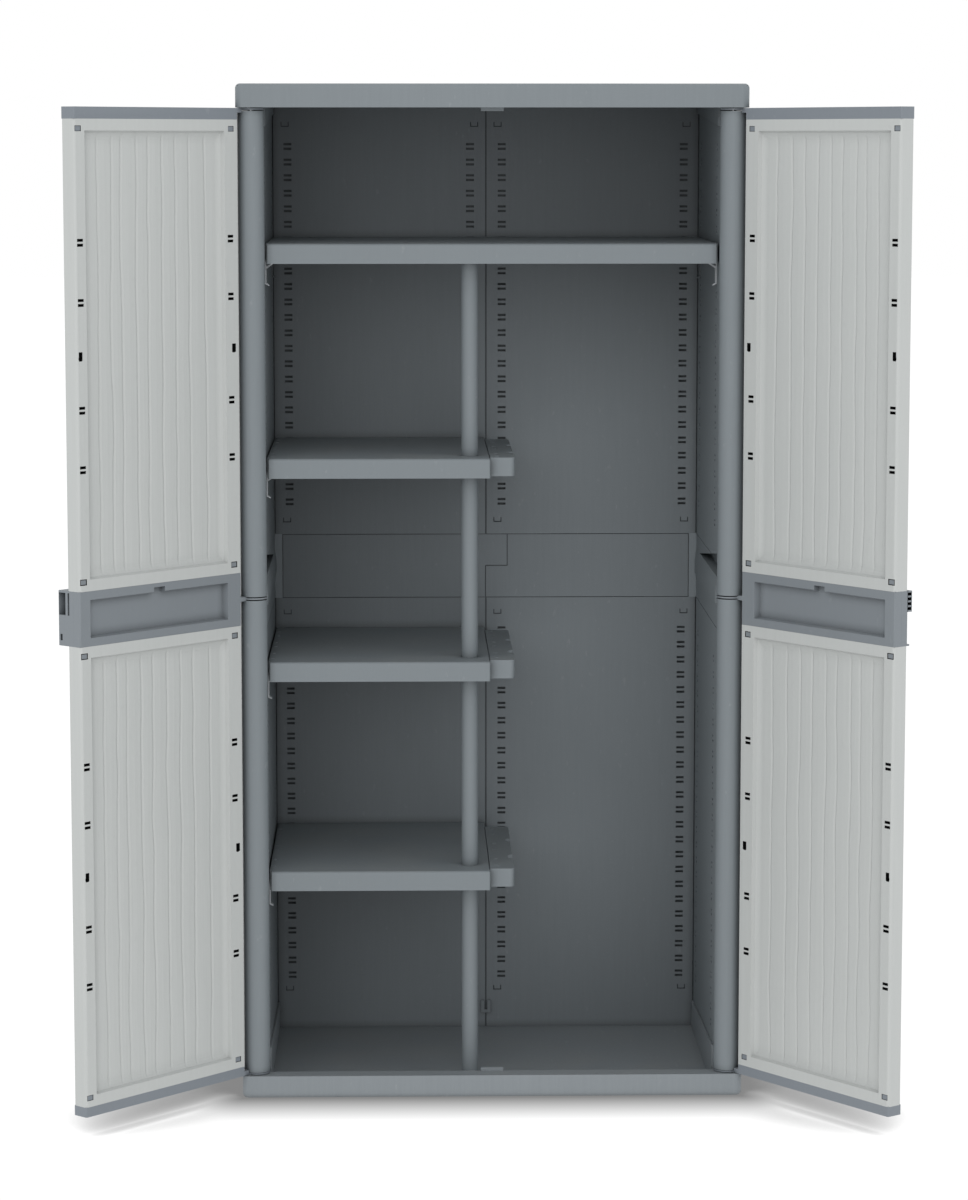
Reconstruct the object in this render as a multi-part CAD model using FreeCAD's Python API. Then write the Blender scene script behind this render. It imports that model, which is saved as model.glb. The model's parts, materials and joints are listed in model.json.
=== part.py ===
import FreeCAD, Part
import math
import os

# Garden storage cabinet with two swing doors, in millimetres.
# +X is to the right, +Y to the back and +Z up. The origin is the middle of the base's underside.

# Whole cabinet
width = 894.0
depth = 540.0
height = 1800.0

# Twin-wall panels
side_inset = 20.5
side_wall = 26.0
back_wall = 12.0
back_inset = 3.0
skin = 1.8
channel_rib = 1.6
channel_pitch = 58.0
fit_gap = 0.3
seam_gap = 0.15
seam_tongue_reach = 6.0
seam_tongue_thick = 3.0
seam_groove = 1.2
seam_groove_depth = 2.5
corner_groove = 1.6
tongue_length = 18.0

# Plank grooves on the outside
plank_pitch = 66.0
groove_width = 3.0
groove_depth = 1.2

# Base tray
base_height = 40.3
base_floor = 4.0
lip_depth = 35.0
sill_wall = 3.0
sill_front = 80.0
sill_back = 54.0
tray_pocket_count = 8
tray_pocket_rib = 5.0

# Roof
skirt_drop = 41.2
skirt_wall = 4.0
roof_plate = 3.0
roof_rib_front_drop = 32.0
roof_rib_back_drop = 7.0
roof_plank_count = 5

# Rounded edges of roof and base
plan_radius = 12.0
edge_radius = 8.0

# Corner pads that carry the hinges
pad_width = 48.0

# Hinge columns
hinge_inset_x = 25.5
hinge_inset_y = 30.0
column_radius = 23.2
column_wall = 3.0
column_gap = 6.8
column_end_gap = 4.5
column_clear = 0.8

# Hinge parts
link_start = 4.0
link_gap = 0.4
disc_thick = 3.0
pin_radius = 5.0
pin_clearance = 0.05
pin_depth = 22.0
bush_length = 30.0
boss_radius = 12.0
arm_thick = 8.0
arm_gap = 1.5

# Belt band at half height
belt_low = 838.5
belt_high = 960.4
corner_return = 40.0
side_rail_proud = 3.0
side_rail_low = 882.0
side_rail_high = 931.0
side_rail_flat = 22.0
side_pocket_rise = 42.0
side_pocket_depth = 18.0
side_pocket_back = 440.0
belt_tongue_reach = 41.0

# Doors
door_thick = 31.0
door_inner_offset = 3.0
door_hinge_edge = 36.0
door_centre_gap = 2.0
door_top_gap = 1.0
door_bottom_gap = 1.0
cap_height = 20.0
foot_height = 17.2
door_belt_low = 853.0
door_belt_high = 947.0
door_edge_radius = 2.5
hinge_stile = 31.5
free_stile = 24.0
rail = 19.5
recess_depth = 10.5
recess_slope = 8.5
lip_reach = 16.0
lip_thick = 9.0
strip_count = 10
field_pitch = 78.0
strip_groove = 2.0
strip_groove_depth = 1.0
left_open = 132.2
right_open = 126.6

# Snap windows, wall slots and keyholes
window_width = 13.0
window_size = 9.0
window_hinge_inset = 15.6
window_free_inset = 9.3
window_rise = 16.0
slit_width = 15.0
slit_height = 4.2
slit_step = 8.6
slit_hinge_inset = 18.5
slit_free_inset = 11.0
keyhole_radius = 3.4
keyhole_slot = 3.0
keyhole_hinge_inset = 11.9
keyhole_free_inset = 5.8
keyhole_length = 12.0
hook_step = 100.0
hook_span = 180.0
hook_drop = 206.0

# Slot columns of the carcass walls
slot_pitch = 29.07
slot_count = 24
upper_slot_top = 1690.6
lower_slot_top = 776.2
back_slot_inner = 29.8
back_slot_outer = 372.0
side_slot_front = 118.0
side_slot_rear = 55.0

# Spring marks on the back panels
mark_width = 15.0
mark_height = 9.0
mark_line = 1.6
mark_inset_x = 22.0
mark_outer_x = 377.0
mark_inset_z = 27.0

# Handles
handle_split = 16.0
handle_skin = 3.5
belt_recess_low = 14.0
belt_recess_high = 15.0
belt_recess_depth = 12.0
belt_recess_slope = 3.0
belt_notch_width = 26.0
belt_notch_rise = 8.0
belt_notch_reach = 221.0
latch_proud = 23.0
latch_length = 44.0
latch_slot_height = 38.0
latch_slot_width = 16.5
latch_slot_depth = 15.0
latch_slit_width = 4.0
latch_skin = 1.8
latch_bar = 5.3
lock_slot_width = 5.0
lock_inset = 5.0
lock_slot_height = 11.0
lock_slot_rise = 9.0
grip_proud = 10.0
grip_height = 36.0
grip_length = 40.0
grip_fin = 3.0
grip_recess = 14.0
grip_fin_count = 5
grip_tooth = 3.0
flange_proud = 4.0
flange_thick = 3.0

# Shelves
shelf_front = 39.6
shelf_back_gap = 3.0
shelf_side_gap = 3.0
shelf_notch = 3.5
shelf_notch_depth = 14.0
shelf_height = 35.0
shelf_plate = 3.0
shelf_rim = 3.0
shelf_rib = 2.5
shelf_cell = 95.0
shelf_nose = 5.0
shelf_end_round = 3.0
half_shelf_end = 3.0
full_shelf_slot = 7
half_shelf_slots = (20, 1, 14)

# Posts between the shelves
post_radius = 14.9
post_wall = 2.0
post_x = -38.6
post_setback = 105.0
post_pad = 38.0

# Tool holders
holder_reach = 43.6
holder_front = 62.0
holder_length = 414.0
holder_height = 33.0
holder_round = 9.0
holder_wall = 3.0
holder_cell = 70.0
holder_mouths = 2
mouth_radius = 23.0
mouth_first = 113.0
mouth_pitch = 160.0
mouth_depth = 10.0
mouth_lobe = 6.0
holder_tab = 30.0
holder_tab_height = 8.0
holder_tab_depth = 6.0

# Shelf brackets
bracket_wall = 2.0
bracket_drop = 38.0
bracket_rise = 4.0
bracket_width = 16.0
bracket_hook = 7.0
bracket_seat = 15.0
bracket_strut_drop = 11.0

# Door stops and seam clip
stop_width = 40.0
stop_thick = 6.0
stop_reach = 6.0
clip_width = 18.0
clip_height = 24.0
clip_thick = 3.0
clip_slot = 6.0
clip_low = 32.0

# Derived planes
front_y = -depth / 2
back_y = depth / 2
half_width = width / 2
bay_x = half_width - side_inset - side_wall
side_x = half_width - side_inset
back_face = back_y - back_inset - back_wall
back_skin_y = back_y - back_inset
skirt_z = height - skirt_drop
wall_top = height - roof_plate
hinge_x = half_width - hinge_inset_x
hinge_y = front_y + hinge_inset_y
belt_mid = (belt_low + belt_high) / 2
column_low = base_height + column_end_gap + fit_gap
column_high = skirt_z - column_end_gap - disc_thick / 2
lower_column_top = belt_mid - column_gap / 2
upper_column_bottom = belt_mid + column_gap / 2
door_end = hinge_x - door_centre_gap / 2
door_top = skirt_z - door_top_gap
door_bottom = base_height + door_bottom_gap
door_back = door_inner_offset - door_thick
panel_top = door_top - cap_height
panel_bottom = door_bottom + foot_height
pad_inner_x = half_width - pad_width - fit_gap
wall_front = hinge_y + column_radius + column_clear
pad_y = wall_front - fit_gap
front_slot_y = front_y + side_slot_front
rear_slot_y = back_face - side_slot_rear


def box(x0, x1, y0, y1, z0, z1):
    corner = FreeCAD.Vector(min(x0, x1), min(y0, y1), min(z0, z1))
    return Part.makeBox(abs(x1 - x0), abs(y1 - y0), abs(z1 - z0), corner)


def rod(x, y, z0, z1, radius):
    return Part.makeCylinder(radius, z1 - z0, FreeCAD.Vector(x, y, z0))


def prism(points, direction):
    vectors = [FreeCAD.Vector(*point) for point in points]
    wire = Part.makePolygon(vectors + vectors[:1])
    return Part.Face(wire).extrude(FreeCAD.Vector(*direction))


def add(shape, pieces):
    return shape.fuse(pieces).removeSplitter() if pieces else shape


def cut(shape, pieces):
    return shape.cut(Part.makeCompound(pieces)) if pieces else shape


def mirrored(shape):
    return shape.mirror(FreeCAD.Vector(0, 0, 0), FreeCAD.Vector(1, 0, 0))


def on_side(shape, side):
    return shape if side > 0 else mirrored(shape)


def edges_where(shape, test):
    return [edge for edge in shape.Edges if test(edge)]


def is_upright(edge):
    start, end = edge.Vertexes[0].Point, edge.Vertexes[-1].Point
    return abs(start.x - end.x) < 0.01 and abs(start.y - end.y) < 0.01


def lies_at(edge, z):
    return all(abs(vertex.Point.z - z) < 0.01 for vertex in edge.Vertexes)


def spans(first, last, pitch, rib):
    # Equal openings between ribs, as many as the pitch allows.
    count = max(1, int(round((last - first + rib) / (pitch + rib))))
    opening = (last - first - rib * (count - 1)) / count
    starts = [first + k * (opening + rib) for k in range(count)]
    return [(start, start + opening) for start in starts]


def drafted_recess(x0, x1, z0, z1, floor_y, face_y, slope):
    # Pocket whose sides lean outwards from the floor to the face.
    return Part.makeWedge(x0 + slope, floor_y, z0 + slope, z0, x0, x1 - slope, face_y, z1 - slope, z1, x1)


def rounded_block(z0, z1, rounded_z):
    block = box(-half_width, half_width, front_y, back_y, z0, z1)
    block = block.makeFillet(plan_radius, edges_where(block, is_upright))
    rim = edges_where(block, lambda edge: lies_at(edge, rounded_z))
    return block.makeFillet(edge_radius, rim)


def slit_pairs(low, high, top, count, place):
    # place(z0, z1) makes one slit between two heights.
    slits = []
    for k in range(count):
        middle = top - k * slot_pitch
        if middle - slit_step < low or middle + slit_step > high:
            continue
        for offset in (-slit_step / 2, slit_step / 2):
            centre = middle + offset
            slits.append(place(centre - slit_height / 2, centre + slit_height / 2))
    return slits


def spring_mark(x, z):
    # U-shaped cut round a spring tab in the inner skin of a back panel.
    y0, y1 = back_face, back_face + skin
    left, right = x - mark_width / 2, x + mark_width / 2
    low, high = z - mark_height / 2, z + mark_height / 2
    return [box(left, left + mark_line, y0, y1, low, high),
            box(right - mark_line, right, y0, y1, low, high),
            box(left, right, y0, y1, low, low + mark_line)]


# Base and roof

def base_tray():
    tray = rounded_block(0, base_height, 0)
    tray = tray.cut(box(-side_x - fit_gap, side_x + fit_gap, front_y + lip_depth,
                        back_skin_y + fit_gap, base_floor, base_height))
    extras = [box(side * pad_inner_x, side * (half_width - plan_radius), front_y + lip_depth / 2,
                  pad_y, base_floor, base_height) for side in (-1, 1)]
    for side in (-1, 1):
        sill_x = side * (bay_x - fit_gap)
        profile = [(sill_x, front_y + lip_depth, 0), (sill_x, back_face - fit_gap, 0),
                   (sill_x, back_face - fit_gap, sill_back), (sill_x, pad_y, sill_front),
                   (sill_x, pad_y, base_height), (sill_x, front_y + lip_depth, base_height)]
        profile = [(x, y, max(z, base_floor)) for x, y, z in profile]
        extras.append(prism(profile, (-side * sill_wall, 0, 0)))
        extras.append(rod(side * hinge_x, hinge_y, base_floor, door_bottom - fit_gap, boss_radius))
    stop_y = hinge_y + door_inner_offset + seam_gap
    extras.append(box(-stop_width / 2, stop_width / 2, stop_y, stop_y + stop_thick,
                      base_floor, base_height + stop_reach - seam_gap))
    tray = add(tray, extras)
    holes = [rod(side * hinge_x, hinge_y, base_floor + skin, height, pin_radius + pin_clearance)
             for side in (-1, 1)]
    pocket_span = pad_inner_x - fit_gap
    pitch = 2 * pocket_span / tray_pocket_count
    for x0, x1 in spans(-pocket_span, pocket_span, pitch - tray_pocket_rib, tray_pocket_rib):
        holes.append(box(x0, x1, front_y + edge_radius, front_y + lip_depth - skin,
                         0, base_height - base_floor))
    return cut(tray, holes)


def roof_cap():
    roof = rounded_block(skirt_z, height, height)
    roof = roof.cut(box(-half_width + skirt_wall, half_width - skirt_wall, front_y + skirt_wall,
                        back_skin_y + fit_gap, skirt_z, wall_top))
    extras = []
    for side in (-1, 1):
        extras.append(box(side * pad_inner_x, side * (half_width - plan_radius), front_y + skirt_wall / 2,
                          pad_y, skirt_z, wall_top))
        rib_x = side * (bay_x - fit_gap)
        extras.append(prism([(rib_x, pad_y, wall_top), (rib_x, back_face - fit_gap, wall_top),
                             (rib_x, back_face - fit_gap, skirt_z - roof_rib_back_drop),
                             (rib_x, pad_y, skirt_z - roof_rib_front_drop)], (-side * sill_wall, 0, 0)))
        extras.append(box(side * (side_x + fit_gap), side * (side_x + fit_gap + sill_wall),
                          pad_y, back_face, skirt_z, wall_top))
    stop_y = hinge_y + door_inner_offset + seam_gap
    extras.append(box(-stop_width / 2, stop_width / 2, stop_y, stop_y + stop_thick,
                      skirt_z - stop_reach, wall_top))
    roof = add(roof, extras)
    cuts = [rod(side * hinge_x, hinge_y, skirt_z, wall_top - skin, pin_radius + pin_clearance)
            for side in (-1, 1)]
    pitch = width / roof_plank_count
    for k in range(1, roof_plank_count):
        x = -half_width + k * pitch
        cuts.append(box(x - groove_width / 2, x + groove_width / 2, front_y + plan_radius,
                        back_y - plan_radius, height - groove_depth, height))
    return cut(roof, cuts)


# Side walls with the hinge columns

side_channels = spans(wall_front + skin, back_face - skin, channel_pitch, channel_rib)
side_tongues = (side_channels[1], side_channels[-2])


def side_slits(z0, z1, top):
    slits = []
    for middle in (front_slot_y, rear_slot_y):
        slits += slit_pairs(z0, z1, top, slot_count, lambda low, high: box(
            bay_x, bay_x + skin, middle - slit_width / 2, middle + slit_width / 2, low, high))
    return slits


def side_grooves(z0, z1):
    grooves = []
    count = int((back_face - wall_front) / plank_pitch)
    for k in range(1, count + 1):
        y = wall_front + k * (back_face - wall_front) / (count + 1)
        grooves.append(box(side_x - groove_depth, side_x, y - groove_width / 2, y + groove_width / 2, z0, z1))
    return grooves


def side_pocket():
    # Wedge above the rail of the side belt, tall at the front and closing towards the back.
    rear = front_y + side_pocket_back
    return prism([(bay_x, wall_front + skin, side_rail_high), (bay_x, rear, side_rail_high),
                  (bay_x, wall_front + skin, side_rail_high + side_pocket_rise)], (side_pocket_depth, 0, 0))


def side_panel(wall_low, wall_high, column_low_z, column_high_z, slot_top):
    wall = box(bay_x, side_x, wall_front, back_face, wall_low, wall_high)
    web_low = max(wall_low, column_low_z)
    web_high = min(wall_high, column_high_z)
    web = box(bay_x, side_x, hinge_y, wall_front, web_low, web_high)
    column = rod(hinge_x, hinge_y, column_low_z, column_high_z, column_radius)
    panel = add(wall, [web, column])
    cuts = [rod(hinge_x, hinge_y, column_low_z, column_high_z, column_radius - column_wall)]
    for y0, y1 in side_channels:
        cuts.append(box(bay_x + skin, side_x - skin, y0, y1, wall_low, wall_high))
    cuts.append(side_pocket())
    return cut(panel, cuts + side_slits(wall_low, wall_high, slot_top) + side_grooves(wall_low, wall_high))


def wall_tongue(z0, z1):
    tongues = []
    for y0, y1 in side_tongues:
        tongues.append(box(bay_x + skin + fit_gap, side_x - skin - fit_gap,
                           y0 + fit_gap, y1 - fit_gap, z0, z1))
    return tongues


def side_belt():
    belt = box(bay_x, side_x, wall_front, back_face, belt_low, belt_high)
    returned = box(side_x - corner_return, side_x, back_face, back_skin_y, belt_low, belt_high)
    tongues = wall_tongue(belt_low - tongue_length, belt_low)
    tongues += wall_tongue(belt_high, belt_high + tongue_length)
    rail_x = bay_x - side_rail_proud
    rail = prism([(bay_x, wall_front, side_rail_low), (bay_x, wall_front, side_rail_high),
                  (rail_x, wall_front, side_rail_low + side_rail_proud + side_rail_flat),
                  (rail_x, wall_front, side_rail_low + side_rail_proud)], (0, back_face - wall_front, 0))
    belt = add(belt, [returned, rail] + tongues)
    cuts = [side_pocket()]
    for z in (belt_low, belt_high - seam_groove):
        cuts.append(box(bay_x, bay_x + skin, wall_front, back_face, z, z + seam_groove))
    for channel in side_channels:
        if channel not in side_tongues:
            cuts.append(box(bay_x + skin + side_pocket_depth, side_x - skin, channel[0], channel[1],
                            belt_low, belt_high))
    return cut(belt, cuts + side_grooves(belt_low, belt_high))


# Back wall

back_channels = spans(seam_gap + skin, side_x - skin, channel_pitch, channel_rib)
back_tongues = (back_channels[1], back_channels[-2])


def back_grooves(x0, x1, z0, z1):
    grooves = []
    count = int(side_x / plank_pitch)
    for k in range(1, count + 1):
        x = k * side_x / (count + 1)
        if x0 + groove_width < x < x1 - groove_width:
            grooves.append(box(x - groove_width / 2, x + groove_width / 2, back_skin_y - groove_depth,
                               back_skin_y, z0, z1))
    return grooves


def back_seam(x, z0, z1, wide):
    return box(x, x + wide, back_face, back_face + seam_groove_depth, z0, z1)


def seam_tongue(x, z0, z1, play):
    # Tongue across an upright seam of the back wall, or with play added the slot that takes it.
    middle = back_face + back_wall / 2
    half = seam_tongue_thick / 2 + play
    return box(x - seam_gap, x + seam_tongue_reach + play, middle - half, middle + half, z0, z1)


def back_half(panel, side, z0, z1):
    half = on_side(panel, side)
    if side < 0:
        return add(half, [seam_tongue(0, z0, z1, 0)])
    return cut(half, [seam_tongue(0, z0, z1, fit_gap)])


def back_panel(z0, z1, slot_top):
    panel = box(seam_gap, side_x, back_face, back_skin_y, z0, z1)
    cuts = [box(x0, x1, back_face + skin, back_skin_y - skin, z0, z1) for x0, x1 in back_channels]
    for x in (back_slot_inner, back_slot_outer):
        cuts += slit_pairs(z0, z1, slot_top, slot_count, lambda low, high: box(
            x - slit_width / 2, x + slit_width / 2, back_face, back_face + skin, low, high))
    for x in (mark_inset_x, mark_outer_x):
        for z in (max(z0, sill_back) + mark_inset_z, min(z1, skirt_z) - mark_inset_z):
            cuts += spring_mark(x, z)
    cuts.append(back_seam(seam_gap, z0, z1, seam_groove))
    cuts.append(back_seam(bay_x - corner_groove, z0, z1, corner_groove))
    return cut(panel, cuts + back_grooves(seam_gap, side_x, z0, z1))


def back_belt(side):
    # The left belt carries the tongue that overlaps the right one.
    end = side_x - corner_return - fit_gap
    belt = box(seam_gap, end, back_face, back_skin_y, belt_low, belt_high)
    tongues = []
    for x0, x1 in back_tongues:
        for z0, z1 in ((belt_low - tongue_length, belt_low), (belt_high, belt_high + tongue_length)):
            tongues.append(box(x0 + fit_gap, min(x1 - fit_gap, end), back_face + skin + fit_gap,
                               back_skin_y - skin - fit_gap, z0, z1))
    belt = add(belt, tongues)
    cuts = back_grooves(seam_gap, end, belt_low, belt_high)
    for channel in back_channels:
        if channel not in back_tongues and channel[1] < end and channel[0] > belt_tongue_reach:
            cuts.append(box(channel[0], channel[1], back_face + skin, back_skin_y - skin,
                            belt_low, belt_high))
    belt = on_side(cut(belt, cuts), side)
    overlap = box(-seam_gap, belt_tongue_reach, back_face, back_skin_y, belt_mid, belt_high)
    gap = box(0, belt_tongue_reach + fit_gap, back_face, back_skin_y, belt_mid - fit_gap, belt_high)
    if side < 0:
        belt = add(belt, [overlap, seam_tongue(0, belt_low, belt_mid, 0),
                          seam_tongue(belt_tongue_reach, belt_mid, belt_high, 0)])
    else:
        belt = cut(belt, [gap, seam_tongue(0, belt_low, belt_mid, fit_gap),
                          seam_tongue(belt_tongue_reach, belt_mid - fit_gap, belt_high, fit_gap)])
    rims = [back_seam(-side_x, belt_low, belt_low + seam_groove, 2 * side_x),
            back_seam(-side_x, belt_high - seam_groove, belt_high, 2 * side_x)]
    if side < 0:
        rims += [back_seam(-end, belt_low, belt_high, seam_groove),
                 back_seam(-seam_gap - seam_groove, belt_low, belt_mid, seam_groove),
                 back_seam(belt_tongue_reach - seam_groove, belt_mid, belt_high, seam_groove),
                 back_seam(-seam_gap, belt_mid, belt_mid + seam_groove, belt_tongue_reach + seam_gap)]
    else:
        rims.append(back_seam(end - seam_groove, belt_low, belt_high, seam_groove))
    return cut(belt, rims)


def seam_clip():
    clip = box(-clip_width / 2, clip_width / 2, back_face - clip_thick, back_face,
               clip_low, clip_low + clip_height)
    slot = box(-clip_slot / 2, clip_slot / 2, back_face - clip_thick, back_face,
               clip_low + clip_slot, clip_low + clip_height)
    return clip.cut(slot)


# Shelves, posts, tool holders and brackets

def slot_height(k):
    in_upper_wall = k >= half_shelf_slots[0] or k == full_shelf_slot
    return (upper_slot_top if in_upper_wall else lower_slot_top) - k * slot_pitch


shelf_lows = [slot_height(k) for k in (full_shelf_slot,) + half_shelf_slots]
shelf_x = bay_x - shelf_side_gap
shelf_y0 = front_y + shelf_front
shelf_y1 = back_face - shelf_back_gap
post_y = front_y + post_setback
holder_x0 = -half_shelf_end + fit_gap
holder_y0 = front_y + holder_front


def tab_places():
    return [holder_y0 + share * holder_length for share in (0.25, 0.75)]


def shelf(x0, x1, low, half):
    top = low + shelf_height
    body = box(x0, x1, shelf_y0, shelf_y1, low, top)
    nose = edges_where(body, lambda edge: lies_at(edge, top)
                       and all(abs(v.Point.y - shelf_y0) < 0.01 for v in edge.Vertexes))
    body = body.makeFillet(shelf_nose, nose)
    if half:
        end = edges_where(body, lambda edge: all(abs(v.Point.x - x1) < 0.01 for v in edge.Vertexes)
                          and all(v.Point.z > top - 0.01 for v in edge.Vertexes))
        body = body.makeFillet(shelf_end_round, end)
    under = top - shelf_plate
    pockets = []
    for a, b in spans(x0 + shelf_rim, x1 - shelf_rim, shelf_cell, shelf_rib):
        for c, d in spans(shelf_y0 + shelf_rim, shelf_y1 - shelf_rim, shelf_cell, shelf_rib):
            pockets.append(box(a, b, c, d, low, under))
    notch_ends = [x0] if half else [x0, x1 - shelf_notch]
    for x in notch_ends:
        pockets.append(box(x, x + shelf_notch, shelf_y0, shelf_y0 + shelf_notch_depth, low, top))
    body = cut(body, pockets)
    pad = box(post_x - post_pad / 2, min(post_x + post_pad / 2, x1), post_y - post_pad / 2,
              post_y + post_pad / 2, low, under + fit_gap)
    body = add(body, [pad])
    if half:
        sockets = [box(x1 - shelf_rim, x1, y - holder_tab / 2 - fit_gap, y + holder_tab / 2 + fit_gap,
                       low + shelf_height / 2 - holder_tab_height / 2 - fit_gap,
                       low + shelf_height / 2 + holder_tab_height / 2 + fit_gap) for y in tab_places()]
        body = cut(body, sockets)
    return body


def tool_holder(low):
    top = low + shelf_height
    bottom = top - holder_height
    x1 = holder_x0 + holder_reach
    body = box(holder_x0, x1, holder_y0, holder_y0 + holder_length, bottom, top)
    corners = edges_where(body, lambda edge: is_upright(edge) and edge.Vertexes[0].Point.x > x1 - 0.01)
    body = body.makeFillet(holder_round, corners)
    mouths = []
    for k in range(holder_mouths):
        y = holder_y0 + mouth_first + k * mouth_pitch
        mouths.append(rod(x1 + mouth_radius - mouth_depth, y, bottom, top, mouth_radius))
    body = cut(body, mouths)
    lobes = edges_where(body, lambda edge: is_upright(edge) and edge.Vertexes[0].Point.x > x1 - 0.01
                        and holder_y0 + holder_round + fit_gap < edge.Vertexes[0].Point.y
                        < holder_y0 + holder_length - holder_round - fit_gap)
    body = body.makeFillet(mouth_lobe, lobes)
    pockets = []
    pocket_x1 = x1 - mouth_depth - holder_wall
    inner_y0 = holder_y0 + holder_wall
    inner_y1 = holder_y0 + holder_length - holder_wall
    for c, d in spans(inner_y0, inner_y1, holder_cell, shelf_rib):
        pockets.append(box(holder_x0 + holder_wall, pocket_x1, c, d, bottom, top - holder_wall))
    tabs = [box(holder_x0 - holder_tab_depth, holder_x0 + holder_wall, y - holder_tab / 2, y + holder_tab / 2,
                low + shelf_height / 2 - holder_tab_height / 2,
                low + shelf_height / 2 + holder_tab_height / 2) for y in tab_places()]
    return add(cut(body, pockets), tabs)


def post(low, high):
    bore = rod(post_x, post_y, low, high, post_radius - post_wall)
    return rod(post_x, post_y, low, high, post_radius).cut(bore)


def bracket(seat_z):
    # Profile in its own frame: wall face at 0, reaching away from the wall, shelf underside at 0 height.
    leg = box(0, bracket_wall, -bracket_width / 2, bracket_width / 2, -bracket_drop, bracket_rise)
    seat = box(0, bracket_seat, -bracket_width / 2, bracket_width / 2, -bracket_wall, 0)
    strut = prism([(bracket_wall, -bracket_width / 2, -bracket_strut_drop),
                   (bracket_seat, -bracket_width / 2, -bracket_wall),
                   (bracket_seat - 2 * bracket_wall, -bracket_width / 2, -bracket_wall),
                   (bracket_wall, -bracket_width / 2, -bracket_strut_drop + 2 * bracket_wall)],
                  (0, bracket_width, 0))
    hook = prism([(0, -bracket_width / 2, -bracket_drop),
                  (bracket_hook, -bracket_width / 2, -bracket_drop - bracket_hook / 2),
                  (bracket_hook, -bracket_width / 2, -bracket_drop - bracket_hook / 2 + bracket_wall),
                  (bracket_wall, -bracket_width / 2, -bracket_drop + bracket_wall)], (0, bracket_width, 0))
    pegs = []
    peg = slit_height / 2 - fit_gap
    for z in (slit_step / 2, -slit_step / 2 - slot_pitch, slit_step / 2 - slot_pitch):
        pegs.append(box(-skin, 0, -slit_width / 2 + fit_gap, slit_width / 2 - fit_gap, z - peg, z + peg))
    shape = add(leg, [seat, strut, hook] + pegs)
    shape.translate(FreeCAD.Vector(0, 0, seat_z))
    return shape


def wall_bracket(side, y, seat_z):
    shape = bracket(seat_z)
    if side > 0:
        shape = mirrored(shape)
    shape.translate(FreeCAD.Vector(side * bay_x, y, 0))
    return shape


def back_bracket(x, seat_z):
    shape = bracket(seat_z)
    shape.rotate(FreeCAD.Vector(0, 0, 0), FreeCAD.Vector(0, 0, 1), -90)
    shape.translate(FreeCAD.Vector(x, back_face, 0))
    return shape


def front_brackets():
    group = [wall_bracket(-1, front_slot_y, low) for low in shelf_lows]
    group.append(wall_bracket(1, front_slot_y, shelf_lows[0]))
    return Part.makeCompound(group)


def rear_brackets():
    group = [wall_bracket(-1, rear_slot_y, low) for low in shelf_lows]
    group.append(wall_bracket(1, rear_slot_y, shelf_lows[0]))
    group += [back_bracket(-back_slot_inner, low) for low in shelf_lows[1:]]
    return Part.makeCompound(group)


# Hinge parts

def hinge_bushes():
    radius = column_radius - column_wall - pin_clearance
    group = []
    for side in (-1, 1):
        for low, high, opening in ((column_low, column_low + bush_length, -1),
                                   (lower_column_top - bush_length, lower_column_top, 1),
                                   (upper_column_bottom, upper_column_bottom + bush_length, -1),
                                   (column_high - bush_length, column_high, 1)):
            bush = rod(side * hinge_x, hinge_y, low, high, radius)
            bore_low = low if opening < 0 else high - pin_depth
            bore = rod(side * hinge_x, hinge_y, bore_low, bore_low + pin_depth, pin_radius + pin_clearance)
            group.append(bush.cut(bore))
    return Part.makeCompound(group)


def hinge_pins():
    spans_z = ((base_floor + skin, column_low + pin_depth),
               (lower_column_top - pin_depth, upper_column_bottom + pin_depth),
               (column_high - pin_depth, wall_top - skin))
    return Part.makeCompound([rod(side * hinge_x, hinge_y, low, high, pin_radius)
                              for side in (-1, 1) for low, high in spans_z])


# Doors, drawn closed about the hinge axis of the left one:
# X runs from the axis to the free edge and Y to the inside of the cabinet.

door_channel_back = door_back + skin
stile_channels = ((door_hinge_edge + skin, door_hinge_edge + hinge_stile - skin),
                  (door_end - free_stile + skin, door_end - skin))
field_channels = spans(door_hinge_edge + hinge_stile, door_end - free_stile, field_pitch, channel_rib)


def door_bar(z0, z1, y0, y1):
    bar = box(door_hinge_edge, door_end, y0, y1, z0, z1)
    free = edges_where(bar, lambda edge: is_upright(edge) and edge.Vertexes[0].Point.x > door_end - 0.01
                       and (abs(edge.Vertexes[0].Point.y - door_inner_offset) < 0.01
                            or abs(edge.Vertexes[0].Point.y - door_back) < 0.01))
    bar = bar.makeFillet(door_edge_radius, free)
    return bar


def weather_lip(z0, z1):
    return box(door_hinge_edge - lip_reach, door_hinge_edge, door_back, door_back + lip_thick, z0, z1)


def door_tongues(z0, z1, window_z):
    # Tongues that plug into the stiles, each with the lug that snaps into the panel's window.
    pieces = []
    face = door_inner_offset - skin
    for x0, x1 in stile_channels:
        pieces.append(box(x0 + fit_gap, x1 - fit_gap, door_channel_back + fit_gap, face - fit_gap, z0, z1))
        window_x = stile_middle(x0, window_hinge_inset, window_free_inset)
        lug = window_size / 2 - 2 * fit_gap
        wide = window_width / 2 - 2 * fit_gap
        pieces.append(box(window_x - wide, window_x + wide,
                          face - 2 * fit_gap, door_inner_offset - 2 * fit_gap,
                          window_z - lug, window_z + lug))
    return pieces


def stile_middle(channel_start, hinge_inset, free_inset):
    near_hinge = channel_start < door_end / 2
    return door_hinge_edge + hinge_inset if near_hinge else door_end - free_inset


def snap_windows(z):
    shapes = []
    for x0, x1 in stile_channels:
        x = stile_middle(x0, window_hinge_inset, window_free_inset)
        half = window_size / 2
        shapes.append(box(x - window_width / 2, x + window_width / 2,
                          door_inner_offset - skin, door_inner_offset, z - half, z + half))
    return shapes


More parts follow.
